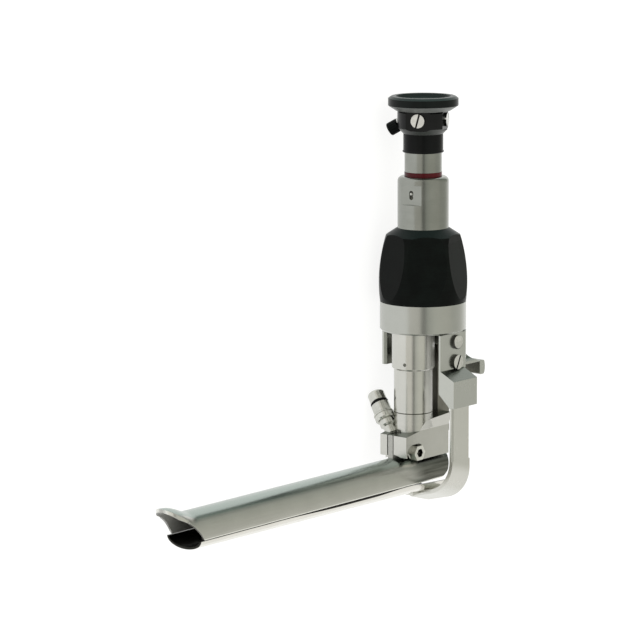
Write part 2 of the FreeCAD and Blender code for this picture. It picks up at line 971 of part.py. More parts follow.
def make_yoke():
    top = ring_bottom - yoke_clearance
    disc = upright(ring_radius, cheek_bottom, top, handle_offset)
    disc = disc.common(block(-cheek_front, yoke_rear, 0, ring_bottom, -cheek_outer, cheek_outer))
    hollow = block(-cheek_front - 1, column_rear + guide_wall, 0, top + 1, -cheek_inner, cheek_inner)
    yoke = disc.cut(hollow)
    yoke = yoke.cut(block(-cheek_front - 1, yoke_rear, 0, bridge_bottom, -cheek_inner, cheek_inner))
    way_side = column_half_width + slide_clearance
    guide = block(
        column_front - guide_wall - slide_clearance,
        column_rear + 2 * guide_wall,
        bridge_bottom,
        top,
        -way_side - guide_wall,
        way_side + guide_wall,
    )
    rail = block(bridge_front, handle_offset + ring_radius, bridge_bottom, top, -cheek_outer, cheek_outer)
    guide = guide.cut(upright(socket_radius + yoke_clearance, 0, ring_bottom))
    rail = rail.common(upright(ring_radius, 0, ring_bottom, handle_offset))
    yoke = yoke.fuse(guide).fuse(rail)
    way = block(
        column_front - slide_clearance,
        column_rear + slide_clearance,
        0,
        top + 1,
        -way_side,
        way_side,
    )
    yoke = yoke.cut(way)
    boss_rear = boss_length - cheek_front
    taper_top = boss_bottom + boss_taper_height
    corner = cheek_outer - cheek_edge
    boss = front_plate(
        [
            (cheek_inner, cheek_bottom + 1),
            (cheek_outer, cheek_bottom + 1),
            (cheek_outer, boss_top),
            (boss_outer, boss_top - boss_slope_drop),
            (boss_outer, boss_bottom),
            (bar_inner, boss_bottom),
            (corner, taper_top),
            (cheek_inner, taper_top + 1),
        ],
        -cheek_front,
        boss_rear,
    )
    yoke = yoke.fuse(boss)
    for side in (-1, 1):
        edge = cheek_chamfer(side, top)
        yoke = yoke.cut(edge)
        bore_low = min(side * (cheek_inner - 1), side * (cheek_outer + 1))
        bore_high = max(side * (cheek_inner - 1), side * (cheek_outer + 1))
        yoke = yoke.cut(across(pivot_shank_radius, pivot_behind, pivot_height, bore_low, bore_high))
        yoke = yoke.cut(across(pivot_shank_radius, pivot_behind, stop_height, bore_low, bore_high))
        seat = min(side * cheek_outer, side * boss_outer)
        for height in (pivot_height, stop_height):
            head_room = across(pivot_head_radius + fit, pivot_behind, height, seat, seat + boss_reach)
            yoke = yoke.cut(head_room)
    pocket = block(
        bar_front,
        bar_front + bar_width,
        boss_bottom - 1,
        boss_bottom + bar_into_boss,
        bar_inner,
        bar_outer,
    )
    return yoke.cut(pocket).removeSplitter()


def cheek_chamfer(side, top):
    # Takes off the inner front edge of a cheek.
    inner = side * cheek_inner
    points = [
        Vector(-cheek_front, 0, inner),
        Vector(-cheek_front, 0, inner + side * cheek_edge),
        Vector(-cheek_front + cheek_edge, 0, inner),
    ]
    return Part.Face(Part.makePolygon(points + points[:1])).extrude(Vector(0, top + 1, 0))


def make_lever_screws():
    screws = []
    for side in (-1, 1):
        direction = left * side
        seat = Vector(pivot_behind, pivot_height, side * cheek_outer)
        head = Part.makeCylinder(pivot_head_radius, pivot_head_height, seat, direction)
        size = (pivot_head_height, pivot_head_radius, pivot_slot)
        head = slotted(head, seat, direction, *size, slot_turn[1])
        reach = cheek_thickness + lever_side_gap + lever_arm_thickness + spring_room
        shank = Part.makeCylinder(pivot_shank_radius, reach, seat - direction * reach, direction)
        screws.append(head.fuse(shank).removeSplitter())
    return Part.makeCompound(screws)


def make_stop_pins():
    pins = []
    for side in (-1, 1):
        direction = left * side
        seat = Vector(pivot_behind, stop_height, side * cheek_outer)
        head = Part.makeCylinder(stop_radius, pivot_head_height, seat, direction)
        end = side * (cheek_outer + pivot_head_height)
        round_edges = [edge for edge in head.Edges if abs(edge.BoundBox.Center.z - end) < 0.01]
        head = head.makeFillet(stop_round, round_edges)
        inside = seat - direction * cheek_thickness
        shank = Part.makeCylinder(pivot_shank_radius, cheek_thickness, inside, direction)
        pins.append(head.fuse(shank).removeSplitter())
    return Part.makeCompound(pins)


def lever_flanks(low, high, reach):
    # Seen from the front: wide at the foot, with hollow flanks that close in towards the top.
    edge = low + wing_edge
    shoulder = reach - wing_bulge
    hollow = (reach - 0.72 * wing_bulge, edge + 0.32 * (high - edge))
    mirrored = (-hollow[0], hollow[1])
    return [
        (-reach, low),
        (-reach, edge),
        (mirrored, (-shoulder, high)),
        (shoulder, high),
        (hollow, (reach, edge)),
        (reach, low),
    ]


def make_thumb_lever():
    arm_outer = cheek_inner - lever_side_gap
    arm_inner = arm_outer - lever_arm_thickness
    web_front = column_rear + yoke_clearance + 0.4
    web_low = web_front + web_lean
    hub_top = pivot_height + lever_hub_radius
    hub_bottom = pivot_height - lever_hub_radius
    paddle_rear = paddle_front + paddle_thickness
    paddle_low = paddle_top - paddle_height
    arm = side_plate(
        [
            (pivot_behind, hub_bottom),
            (web_front + 2, hub_bottom),
            (web_front + 2, hub_top),
            (pivot_behind, hub_top),
            ((pivot_behind - lever_hub_radius, pivot_height), (pivot_behind, hub_bottom)),
        ],
        -arm_outer,
        arm_outer,
    )
    # Behind the cheeks the lever falls in a hollow curve to the paddle
    back = side_plate(
        [
            (cheek_rear, hub_bottom),
            (cheek_rear, hub_top),
            (web_front + 1.4, hub_top),
            ((web_front + 4.1, paddle_top + 2.5), (paddle_front - 1, paddle_top + 0.2)),
            (paddle_rear - 0.4, paddle_top),
            (paddle_rear, paddle_top - 0.4),
            ((paddle_rear + 0.5, paddle_top - 0.5 * paddle_height), (paddle_rear, paddle_low + 0.6)),
            (paddle_rear - 0.6, paddle_low),
            (paddle_front + 0.4, paddle_low),
            (paddle_front, paddle_low + 0.4),
            (paddle_front, hub_bottom),
        ],
        -arm_outer,
        arm_outer,
    )
    flanks = front_plate(lever_flanks(hub_bottom, hub_top, arm_outer), cheek_rear, paddle_rear + 1)
    below = block(paddle_front, paddle_rear + 1, 0, hub_bottom, -arm_outer, arm_outer)
    arm = arm.common(block(0, cheek_rear, 0, ring_bottom, -arm_outer, arm_outer))
    back = back.common(flanks.fuse(below))
    rib = side_plate(
        [
            (web_front + 2, hub_bottom + 1),
            (web_low + 0.5, hub_bottom),
            (paddle_front + 1, hub_bottom - rib_depth),
            (paddle_front + 1, hub_bottom + 1),
        ],
        -rib_half_width,
        rib_half_width,
    )
    hollow = [
        (0, 0),
        (web_low, 0),
        (web_low, hub_bottom),
        (web_front, hub_top),
        (0, hub_top),
    ]
    pawl = side_plate(
        [
            (column_rear + yoke_clearance, pivot_height + pawl_height),
            (web_front + 1.4, pivot_height + pawl_height + 0.9),
            (web_front + 3, hub_top - 1),
            (web_front, hub_top - 1),
            (web_front, pivot_height + pawl_height - 1.4),
        ],
        -column_half_width + 1,
        column_half_width - 1,
    )
    lever = arm.fuse(back).fuse(rib).cut(side_plate(hollow, -arm_inner, arm_inner)).fuse(pawl)
    bore = pivot_shank_radius + slide_clearance
    lever = lever.cut(across(bore, pivot_behind, pivot_height, -cheek_outer, cheek_outer))
    return lever.removeSplitter()


def make_lever_spring():
    # Coiled from flat strip
    radius = pivot_shank_radius + fit
    pitch = spring_wire * 1.4
    length = pitch * spring_turns
    helix = Part.makeHelix(pitch, length, radius)
    corners = [
        Vector(radius, 0, 0),
        Vector(radius + spring_wire, 0, 0),
        Vector(radius + spring_wire, 0, spring_wire),
        Vector(radius, 0, spring_wire),
    ]
    section = Part.makePolygon(corners + corners[:1])
    coil = Part.Wire(helix).makePipeShell([section], True, True)
    arm_inner = cheek_inner - lever_side_gap - lever_arm_thickness
    start = arm_inner - yoke_clearance - spring_wire - length
    coil.translate(Vector(pivot_behind, pivot_height, start))
    return coil


def foot_line(offset, bend_height):
    # Middle and end of the bend, at an offset from the bar's middle.
    turn = radians(bar_bend_angle)
    middle = bar_outer - bar_thickness / 2 - bar_bend_radius
    radius = bar_bend_radius + offset
    end = (middle + radius * cos(turn), bend_height - radius * sin(turn))
    half = turn / 2
    mid = (middle + radius * cos(half), bend_height - radius * sin(half))
    return mid, end


def foot_depth(bend_height):
    # Level of the foot's underside in the middle plane.
    turn = radians(bar_bend_angle)
    end = foot_line(bar_thickness / 2, bend_height)[1]
    return end[1] - end[0] * cos(turn) / sin(turn)


def bar_section(x, bend_height):
    outer_mid, outer_end = foot_line(bar_thickness / 2, bend_height)
    inner_mid, inner_end = foot_line(-bar_thickness / 2, bend_height)
    low = foot_depth(bend_height)
    profile = [
        (bar_outer, boss_bottom + bar_into_boss),
        (bar_outer, bend_height),
        (outer_mid, outer_end),
        (0, low),
        (-bar_foot_reach, low + 0.45 * bar_foot_reach),
        (-bar_foot_reach, -trough_tip_depth),
        (inner_end[0] - 2 * bar_thickness, -trough_tip_depth),
        inner_end,
        (inner_mid, (bar_inner, bend_height)),
        (bar_inner, boss_bottom + bar_into_boss),
    ]
    points = []
    for item in profile:
        if isinstance(item[0], tuple):
            points.append(((x, item[0][1], item[0][0]), (x, item[1][1], item[1][0])))
        else:
            points.append((x, item[1], item[0]))
    return outline(points)


def make_carrier_bar():
    # The bend hangs lower at the rear, and a tail runs forward under the trough
    rear = bar_front + bar_width
    high = bar_bend_height + bar_bend_slant
    ends = [bar_section(bar_front, high), bar_section(rear, bar_bend_height)]
    bar = Part.makeLoft(ends, True, True)
    tail = side_plate(
        [
            (bar_front - bar_tail_length, -bar_tail_end),
            (bar_front + 1, foot_depth(high) + 0.45 * bar_foot_reach),
            (bar_front + 1, -trough_tip_depth),
            (bar_front - bar_tail_length, -trough_tip_depth),
        ],
        -bar_foot_reach,
        bar_foot_reach,
    )
    bar = bar.fuse(tail)
    for x in (bar_front, rear):
        inward = 1 if x == bar_front else -1
        points = [
            Vector(x, boss_bottom, bar_outer),
            Vector(x + inward * bar_edge, boss_bottom, bar_outer),
            Vector(x, boss_bottom, bar_outer - bar_edge),
        ]
        run = Vector(0, high - boss_bottom, 0)
        edge = Part.makePolygon(points + points[:1])
        bar = bar.cut(Part.Face(edge).extrude(run))
    return bar.cut(trough_mould()).removeSplitter()


def trough_mould():
    # The full body of the trough, so that the foot of the bar fits under it.
    top = -trough_gap

    def section(x, depth):
        edges = trough_section(x, depth, top)
        lid = Part.LineSegment(Vector(x, top, -blade_radius), Vector(x, top, blade_radius)).toShape()
        return Part.Wire(Part.__sortEdges__([edges[0], lid]))

    return trough_shell(section)


# Light post


def post_direction():
    rise = sqrt(1 - post_lean_side ** 2 - post_lean_rear ** 2)
    return Vector(post_lean_rear, rise, -post_lean_side)


def post_point(along):
    return Vector(-post_front, post_start_height, -block_half_width + 0.2) + post_direction() * along


def post_round(radius, low, high):
    return Part.makeCylinder(radius, high - low, post_point(low), post_direction())


def post_turned(profile):
    points = [Vector(radius, along, 0) for radius, along in profile]
    solid = Part.Face(Part.makePolygon(points + points[:1])).revolve(Vector(0, 0, 0), up, 360)
    solid.Placement = FreeCAD.Placement(post_point(0), FreeCAD.Rotation(up, post_direction()))
    return solid


def guide_top():
    return post_point(-post_sink).y


def guide_x():
    return post_point(-post_sink).x


def post_base_top():
    return post_foot_length + post_belt_length


def post_base_outside():
    belt = post_base_top()
    return [
        (post_neck_radius, -post_sink),
        (post_neck_radius, 0.6),
        (post_foot_radius, 1.6),
        (post_foot_radius, post_foot_length - 0.8),
        (post_foot_radius - post_fine_groove, post_foot_length - 0.8),
        (post_foot_radius - post_fine_groove, post_foot_length - 0.3),
        (post_belt_radius - 0.5, post_foot_length - 0.3),
        (post_belt_radius, post_foot_length + 0.3),
        (post_belt_radius, belt - 1.4),
        (post_belt_radius - post_fine_groove, belt - 1.4),
        (post_belt_radius - post_fine_groove, belt - 1.0),
        (post_belt_radius, belt - 1.0),
        (post_belt_radius, belt - 0.4),
        (post_belt_radius - 0.4, belt),
    ]


def make_post_base():
    low = (guide_radius, -post_sink)
    high = (guide_radius, post_base_top())
    return post_turned([low] + post_base_outside() + [high])


def make_post_sleeve():
    low = post_foot_length + post_belt_length
    high = low + post_body_length
    profile = [
        (guide_radius, low),
        (post_body_radius, low),
        (post_body_radius, high - 0.5),
        (post_body_radius - 0.5, high),
        (post_groove_radius, high),
        (post_groove_radius, high + post_groove_length),
        (guide_radius, high + post_groove_length),
    ]
    return post_turned(profile)


def post_seal_middle():
    return post_foot_length + post_belt_length + post_body_length + post_groove_length / 2


def make_post_seal():
    thick = post_groove_length / 2
    centre = post_point(post_seal_middle())
    return Part.makeTorus(post_groove_radius + thick, thick, centre, post_direction())


def make_post_cap():
    low = post_seal_middle() + post_groove_length / 2
    high = low + post_cap_length
    profile = [
        (guide_radius, low),
        (post_cap_radius - 0.3, low),
        (post_cap_radius, low + 0.3),
        (post_cap_radius, high - 1.3),
        (post_cap_radius - 0.35, high - 0.6),
        (post_cap_radius - 1.1, high - 0.15),
        (post_cap_radius - 2.0, high),
        (guide_radius, high),
    ]
    return post_turned(profile)


# Optics


def make_relay_tube():
    low = optic_height - optic_radius + 0.01
    tube = upright(optic_radius, optic_height, relay_top, optic_behind)
    tube = tube.cut(upright(optic_radius - optic_wall, low, relay_top + 1, optic_behind))
    clear = Part.makeCylinder(
        optic_radius + fit,
        20,
        Vector(optic_behind - 10, optic_height, 0),
        Vector(1, 0, 0),
    )
    return tube.cut(clear)


def make_relay_lens():
    low = optic_height + optic_radius + relay_setback
    return upright(optic_radius - optic_wall, low, relay_top - relay_cover, optic_behind)


def make_distal_tube():
    front = -blade_tip + distal_setback
    rear = optic_behind + optic_radius + optic_end
    axis = Vector(1, 0, 0)
    tube = Part.makeCylinder(optic_radius, rear - front, Vector(front, optic_height, 0), axis)
    start = Vector(front, optic_height, 0)
    bore = Part.makeCylinder(optic_radius - optic_wall, rear - front - optic_end, start, axis)
    tube = tube.cut(bore)
    tube = tube.cut(upright(optic_radius - optic_wall, optic_height, optic_height + 6, optic_behind))
    slant = side_plate(
        [
            (front - 1, optic_height - optic_radius - 1),
            (front + 2 * optic_radius * 0.6, optic_height - optic_radius - 1),
            (front - 0.6, optic_height + optic_radius + 1),
            (front - 1, optic_height + optic_radius + 1),
        ],
        -optic_radius - 1,
        optic_radius + 1,
    )
    return tube.cut(slant)


def make_distal_window():
    front = -blade_tip + distal_setback
    inner = optic_radius - optic_wall
    glass = Part.makeCylinder(inner, 5, Vector(front, optic_height, 0), Vector(1, 0, 0))
    lean = 0.6 * 2 * optic_radius
    keep = side_plate(
        [
            (front + lean + 0.3, optic_height - optic_radius - 1),
            (front + lean + 1.5, optic_height - optic_radius - 1),
            (front + 0.9, optic_height + optic_radius + 1),
            (front - 0.3, optic_height + optic_radius + 1),
        ],
        -optic_radius,
        optic_radius,
    )
    return glass.common(keep)


def make_distal_lens():
    start = Vector(lens_setback + distal_setback - blade_tip, optic_height, 0)
    rear = optic_behind - optic_radius - lens_gap
    return Part.makeCylinder(optic_radius - optic_wall, rear - start.x, start, Vector(1, 0, 0))


def make_corner_prism():
    half = (optic_radius - optic_wall) * 0.68
    return side_plate(
        [
            (optic_behind - half, optic_height - half),
            (optic_behind + half, optic_height + half),
            (optic_behind - half, optic_height + half),
        ],
        -half,
        half,
    )


def make_light_guide():
    inner = blade_radius - blade_wall - guide_radius
    height = blade_side_height + sqrt(inner ** 2 - guide_side ** 2)
    front = -blade_tip + distal_setback - 4
    start = Vector(front, height, -guide_side)
    run = Part.makeCylinder(guide_radius, guide_x() - front, start, Vector(1, 0, 0))
    elbow = Part.makeSphere(guide_radius, Vector(guide_x(), height, -guide_side))
    rise = upright(guide_radius, height, guide_top(), guide_x(), -guide_side)
    rise = rise.cut(post_round(post_body_radius, -post_sink, post_sink))
    return run.fuse(elbow).fuse(rise).removeSplitter()


parts = {
    "upper_blade": make_upper_blade(),
    "lower_blade": make_lower_blade(),
    "prism_block": make_prism_block(),
    "clamp_bolt": make_clamp_bolt(),
    "clamp_washer": make_clamp_washer(),
    "clamp_nut": make_clamp_nut(),
    "main_tube": make_main_tube(),
    "tube_socket": make_tube_socket(),
    "support_ring": make_support_ring(),
    "grip": make_grip(),
    "upper_body": make_upper_body(),
    "index_pin": make_index_pin(),
    "code_ring": make_code_ring(),
    "marking_ring": make_marking_ring(),
    "eyepiece_sleeve": make_eyepiece_sleeve(),
    "eyepiece_collar": make_eyepiece_collar(),
    "collar_screws": make_collar_screws(),
    "knob_washer": make_knob_washer(),
    "lock_knob": make_lock_knob(),
    "eyepiece_cup": make_eyepiece_cup(),
    "eyepiece_window": make_eyepiece_window(),
    "ocular_tube": make_ocular_tube(),
    "ocular_lens": make_ocular_lens(),
    "offset_prism": make_offset_prism(),
    "prism_mount": make_prism_mount(),
    "guide_column": make_guide_column(),
    "yoke": make_yoke(),
    "lever_screws": make_lever_screws(),
    "stop_pins": make_stop_pins(),
    "thumb_lever": make_thumb_lever(),
    "lever_spring": make_lever_spring(),
    "carrier_bar": make_carrier_bar(),
    "post_base": make_post_base(),
    "post_sleeve": make_post_sleeve(),
    "post_seal": make_post_seal(),
    "post_cap": make_post_cap(),
    "relay_tube": make_relay_tube(),
    "relay_lens": make_relay_lens(),
    "distal_tube": make_distal_tube(),
    "distal_window": make_distal_window(),
    "distal_lens": make_distal_lens(),
    "corner_prism": make_corner_prism(),
    "light_guide": make_light_guide(),
}

# The origin is the middle of the footprint, on the floor
whole = Part.makeCompound(list(parts.values())).optimalBoundingBox(True, False)
shift = Vector(-whole.Center.x, -whole.Center.y, -whole.ZMin)
print("shift", round(shift.x, 4), round(shift.y, 4), round(shift.z, 4))

os.makedirs("parts", exist_ok=True)
for name, shape in parts.items():
    shape.translate(shift)
    if not shape.isValid():
        print("not valid", name)
    shape.exportStep("parts/" + name + ".step")
    print(name, len(shape.Solids), round(shape.Volume, 1))
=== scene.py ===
import math

import bpy
from mathutils import Matrix, Vector


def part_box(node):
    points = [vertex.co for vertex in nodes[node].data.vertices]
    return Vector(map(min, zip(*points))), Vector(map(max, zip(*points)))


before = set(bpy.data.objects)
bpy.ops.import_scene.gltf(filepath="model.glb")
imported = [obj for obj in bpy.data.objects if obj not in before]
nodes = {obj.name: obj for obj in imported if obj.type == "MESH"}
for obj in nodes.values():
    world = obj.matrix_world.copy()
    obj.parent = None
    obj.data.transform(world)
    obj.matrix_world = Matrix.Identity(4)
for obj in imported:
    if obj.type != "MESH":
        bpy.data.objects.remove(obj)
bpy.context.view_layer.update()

mm = 0.001


# The upper blade is a half tube of satin steel, 20 mm wide, with a beak at its tip and an upright fin
# at its rear. It is milled and glass blasted, so its finish is even, with faint lines along its length.
class Socket:
    """An output of a shader node. Its operators add Math nodes, and node() adds any other."""

    def __init__(self, tree, output=None):
        self.tree = tree
        self.output = output

    def node(self, kind, settings=(), sockets=(), out=0):
        made = self.tree.nodes.new(kind)
        for name, value in dict(settings).items():
            if name == "stops":
                elements = made.color_ramp.elements
                elements[0].position, elements[1].position = 0.0, 1.0
                for place, colour in value[1:-1]:
                    elements.new(place)
                for stop, (place, colour) in zip(elements, value):
                    stop.color = (*colour, 1.0)
            else:
                setattr(made, name, value)
        for name, value in dict(sockets).items():
            if isinstance(value, Socket):
                self.tree.links.new(value.output, made.inputs[name])
            else:
                made.inputs[name].default_value = value
        return Socket(self.tree, made.outputs[out])

    def math(self, operation, first, second=0.0):
        return self.node("ShaderNodeMath", {"operation": operation}, {0: first, 1: second})

    def __add__(self, other):
        return self.math("ADD", self, other)

    def __radd__(self, other):
        return self.math("ADD", other, self)

    def __sub__(self, other):
        return self.math("SUBTRACT", self, other)

    def __rsub__(self, other):
        return self.math("SUBTRACT", other, self)

    def __mul__(self, other):
        return self.math("MULTIPLY", self, other)

    def __rmul__(self, other):
        return self.math("MULTIPLY", other, self)

    def __truediv__(self, other):
        return self.math("DIVIDE", self, other)

    def __rtruediv__(self, other):
        return self.math("DIVIDE", other, self)

    def __abs__(self):
        return self.math("ABSOLUTE", self)

    def vector(self, operation, other, out=0):
        return self.node("ShaderNodeVectorMath", {"operation": operation}, {0: self, 1: other}, out=out)

    def part(self, axis):
        return self.node("ShaderNodeSeparateXYZ", {}, {"Vector": self}, out=axis)

    def within(self, low, high):
        """0 below low, 1 above high and smooth between."""
        return self.node("ShaderNodeMapRange", {"interpolation_type": "SMOOTHSTEP"},
                         {"Value": self, "From Min": low, "From Max": high})

    def mix(self, low, high):
        ends = [end if isinstance(end, Socket) else (*end, 1.0) for end in (low, high)]
        return self.node("ShaderNodeMix", {"data_type": "RGBA"},
                         {"Factor": self, "A": ends[0], "B": ends[1]}, out=2)

    def ramp(self, stops):
        return self.node("ShaderNodeValToRGB", {"stops": stops}, {"Fac": self})

    def noise(self, scale, detail=3.0, roughness=0.55):
        return self.node("ShaderNodeTexNoise", {},
                         {"Vector": self, "Scale": scale, "Detail": detail, "Roughness": roughness})


def surface(name, constants):
    """A new material, its main shader with its constant sockets set, and the place on the object."""
    material = bpy.data.materials.new(name)
    material.use_nodes = True
    tree = material.node_tree
    shader = tree.nodes["Principled BSDF"]
    for socket, value in constants.items():
        shader.inputs[socket].default_value = value
    return material, shader, Socket(tree).node("ShaderNodeTexCoord", out="Object")


def feed(shader, **links):
    tree = shader.id_data
    for name, value in links.items():
        tree.links.new(value.output, shader.inputs[name.replace("_", " ")])


speck_scale = 2600.0
grain_height, speck_height = 0.7, 0.3
fine_relief = 0.004 * mm
fine_edge = 0.15 * mm
fine_strength = 0.15


def finished(shader, place, tone, stain_and_painted_light, roughness, grain, strength, depth, edge):
    """Grain and fine specks give the relief, on a normal with rounded edges. The stain_and_painted_light
    function takes the place and the tone, and gives the tone with its own part changed: some add real
    marks, others add painted shade, highlights and reflections."""
    if stain_and_painted_light:
        tone = stain_and_painted_light(place, tone)
    relief = grain * grain_height + place.noise(speck_scale, detail=2.0) * speck_height
    rounded = place.node("ShaderNodeBevel", {"samples": 6}, {"Radius": edge})
    normal = place.node("ShaderNodeBump", {}, {"Strength": strength, "Distance": depth, "Height": relief,
                                               "Normal": rounded})
    feed(shader, Base_Color=tone, Roughness=roughness, Normal=normal)


cloud_scale = 90.0
cloud_share, grain_share = 0.6, 0.4
tone_low, tone_high = 0.36, 0.64


def along(name, colour, shade, roughness, factors, edge=fine_edge, spread=0.05, strength=fine_strength,
          stain_and_painted_light=None):
    """A finish with lines along one axis: factors give how fast its grain changes along each axis."""
    material, shader, place = surface(name, {"Metallic": 1.0})
    grain = place.vector("MULTIPLY", factors).noise(1.0, detail=4.0, roughness=0.6)
    cloud = place.noise(cloud_scale)
    tone = (cloud * cloud_share + grain * grain_share).within(tone_low, tone_high).mix(shade, colour)
    finished(shader, place, tone, stain_and_painted_light, roughness + (cloud - 0.5) * spread + (grain - 0.5) * spread,
             grain, strength, fine_relief, edge)
    return material


def blasted(material, mirror):
    """Mirror takes the place and gives how much of the metal's mirror is left there, 0 to 1."""
    place = Socket(material.node_tree).node("ShaderNodeTexCoord", out="Object")
    feed(material.node_tree.nodes["Principled BSDF"], Metallic=mirror(place))


def dress(material, *names):
    """Gives a node its finish in place of the plain one that it came with."""
    for name in names:
        for slot in nodes[name].material_slots:
            slot.material = material


def facing(place, axis="Y"):
    """How far the surface looks along one axis, -1 to 1."""
    return place.node("ShaderNodeTexCoord", out="Normal").part(axis)


def outward(place, centre, factors=(1.0, 1.0, 1.0)):
    """How far the surface's own plane lies from a point: over 0 where it looks away from the point."""
    local = place.vector("SUBTRACT", centre).vector("MULTIPLY", factors)
    return local.vector("DOT_PRODUCT", place.node("ShaderNodeTexCoord", out="Normal"), "Value")


# The blade's own lengths start where the tube's axis meets the plane between the two blades.
build_origin = Vector((66.1997, -81.6221, 22.1458)) * mm
blade_axis = build_origin + Vector((0.0, 1.3 * mm, 0.0))
across_blade = (0.0, 1.0, 1.0)
side_blur = 1.0 * mm
flank_to_back = (0.72, 0.82)
rim_to_flank = (-0.8, -0.5)
# Painted light on the blade: a darker, greener painted reflection on its back, painted highlights on its
# beak rim and lower edge, and painted shade at its heel.
blade_back_painted_reflection = (0.37, 0.425, 0.395)
beak_rim_painted_highlight = (0.74, 0.74, 0.70)
lower_edge_painted_highlight = (0.93, 0.93, 0.89)
edge_full, edge_end = 0.3 * mm, 0.6 * mm
blade_inside = (0.25, 0.25, 0.235)
heel_painted_shade = (0.07, 0.072, 0.06)
heel_start, heel_full = -16.0 * mm, -1.0 * mm
heel_streaks = (40.0, 700.0, 700.0)
heel_least, heel_streaked = 0.45, 0.7


def outer_side(place):
    """1 on the outer side of a blade and 0 on its inner side."""
    return outward(place, blade_axis, across_blade).within(-side_blur, side_blur)


def blade_tone_and_painted_light(place, tone):
    """The blade's back has a painted reflection, darker and greener than its flanks, and its rear end,
    beside the block, has streaked painted shade. Its lower edge and the rim of its beak have painted
    highlights. Its inside is blasted grey."""
    tone = facing(place).within(*flank_to_back).mix(tone, blade_back_painted_reflection)
    tone = facing(place, "X").within(*rim_to_flank).mix(beak_rim_painted_highlight, tone)
    streak = place.vector("MULTIPLY", heel_streaks).noise(1.0, detail=2.0)
    heel = (place.part("X") - build_origin.x).within(heel_start, heel_full)
    tone = (heel * (heel_least + streak * heel_streaked)).mix(tone, heel_painted_shade)
    tone = (place.part("Y") - build_origin.y).within(edge_full, edge_end).mix(lower_edge_painted_highlight, tone)
    return outer_side(place).mix(blade_inside, tone)


steel_light = (0.585, 0.585, 0.55)
steel_shade = (0.55, 0.55, 0.515)
length_grain = (60.0, 1400.0, 1400.0)
blade_steel = along("blade steel", steel_light, steel_shade, 0.24, length_grain, edge=0.3 * mm,
                    stain_and_painted_light=blade_tone_and_painted_light)
blasted(blade_steel, outer_side)
dress(blade_steel, "upper_blade")


# The tube stands upright on the blade: a lower part cast in one with the clamp block, then a plain
# tube, then a wider socket under the ring. All are steel, turned and satin finished.
def radius(place, axis):
    """The distance from a line along Y through the point axis."""
    return place.vector("SUBTRACT", axis).vector("MULTIPLY", (1.0, 0.0, 1.0)).vector(
        "LENGTH", (0.0, 0.0, 0.0), "Value")


ring_pitch = 9000.0
turned_cloud_scale, wander_scale = 110.0, 60.0
turned_low, turned_high = 0.38, 0.62
cloud_rough, grain_rough, wander_rough = 0.05, 0.06, 0.05


def turned(name, colour, shade, roughness, axis, depth=fine_relief, edge=fine_edge, metallic=1.0,
           pitch=ring_pitch, shine=0.5, stain_and_painted_light=None):
    """A turned surface: fine rings round an axis that runs along Y through the point axis."""
    material, shader, place = surface(name, {"Metallic": metallic, "Specular IOR Level": shine})
    rings = place.node("ShaderNodeCombineXYZ", {}, {"X": radius(place, axis), "Y": place.part("Y")})
    grain = rings.vector("MULTIPLY", (pitch, pitch, 1.0)).noise(1.0, detail=3.0, roughness=0.7)
    cloud = place.noise(turned_cloud_scale)
    wander = place.noise(wander_scale, detail=2.0)
    tone = (cloud * 0.5 + grain * 0.5).within(turned_low, turned_high).mix(shade, colour)
    rough = roughness + (cloud - 0.5) * cloud_rough + (grain - 0.5) * grain_rough
    rough = rough + (wander - 0.5) * wander_rough
    finished(shader, place, tone, stain_and_painted_light, rough, grain, fine_strength, depth, edge)
    return material


tube_low, tube_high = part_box("main_tube")
tube_axis = Vector(((tube_low.x + tube_high.x) / 2, 0.0, (tube_low.z + tube_high.z) / 2))
tube_radius = 8.9 * mm
joint_height = build_origin.y + 31.3 * mm
joint_full, joint_end = 0.15 * mm, 0.32 * mm
joint_dark = (0.09, 0.09, 0.075)
socket_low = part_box("tube_socket")[0].y
socket_radius = 9.85 * mm
dimple_full, dimple_end = socket_radius - 0.25 * mm, socket_radius - 0.1 * mm
lip_full, lip_end = 1.0 * mm, 1.3 * mm
dimple_painted_shade_colour = (0.15, 0.15, 0.13)
looks_up = (0.3, 0.6)
top_painted_shade_colour = (0.19, 0.21, 0.185)
front_to_side = (-0.35, -0.1)
side_blasted = 0.85
shoulder_height = build_origin.y + 23.6 * mm
shoulder_start, shoulder_full = 0.1 * mm, 0.5 * mm
tube_full, tube_end = 0.05 * mm, 0.25 * mm


def joint_stain(place, tone):
    """A dark line where the tube meets the block."""
    return abs(place.part("Y") - joint_height).within(joint_full, joint_end).mix(joint_dark, tone)


def dimple_painted_shade(place, tone):
    """The dimple, nearer to the axis than the socket's side, is painted dark as shade. The lower lip is
    left as it is.
    """
    at_surface = radius(place, tube_axis).within(dimple_full, dimple_end)
    on_lip = 1.0 - (place.part("Y") - socket_low).within(lip_full, lip_end)
    return (at_surface + on_lip).mix(dimple_painted_shade_colour, tone)


def top_painted_shade(place, tone):
    """Faces that look up are painted darker and greener, as painted shade."""
    return facing(place).within(*looks_up).mix(tone, top_painted_shade_colour)


# The block's joint line is dark, and its faces that look up carry painted shade.
def block_joint_and_painted_shade(place, tone):
    return joint_stain(place, top_painted_shade(place, tone))


def tube_mirror(place):
    """The tube is bright in front and blasted at its sides and rear."""
    return 1.0 - facing(place, "X").within(*front_to_side) * side_blasted


def block_mirror(place):
    """The block is blasted as the tube is, but only where it is round, above its shoulder."""
    above = (place.part("Y") - shoulder_height).within(shoulder_start, shoulder_full)
    round_part = 1.0 - (radius(place, tube_axis) - tube_radius).within(tube_full, tube_end)
    return 1.0 - facing(place, "X").within(*front_to_side) * round_part * above * side_blasted


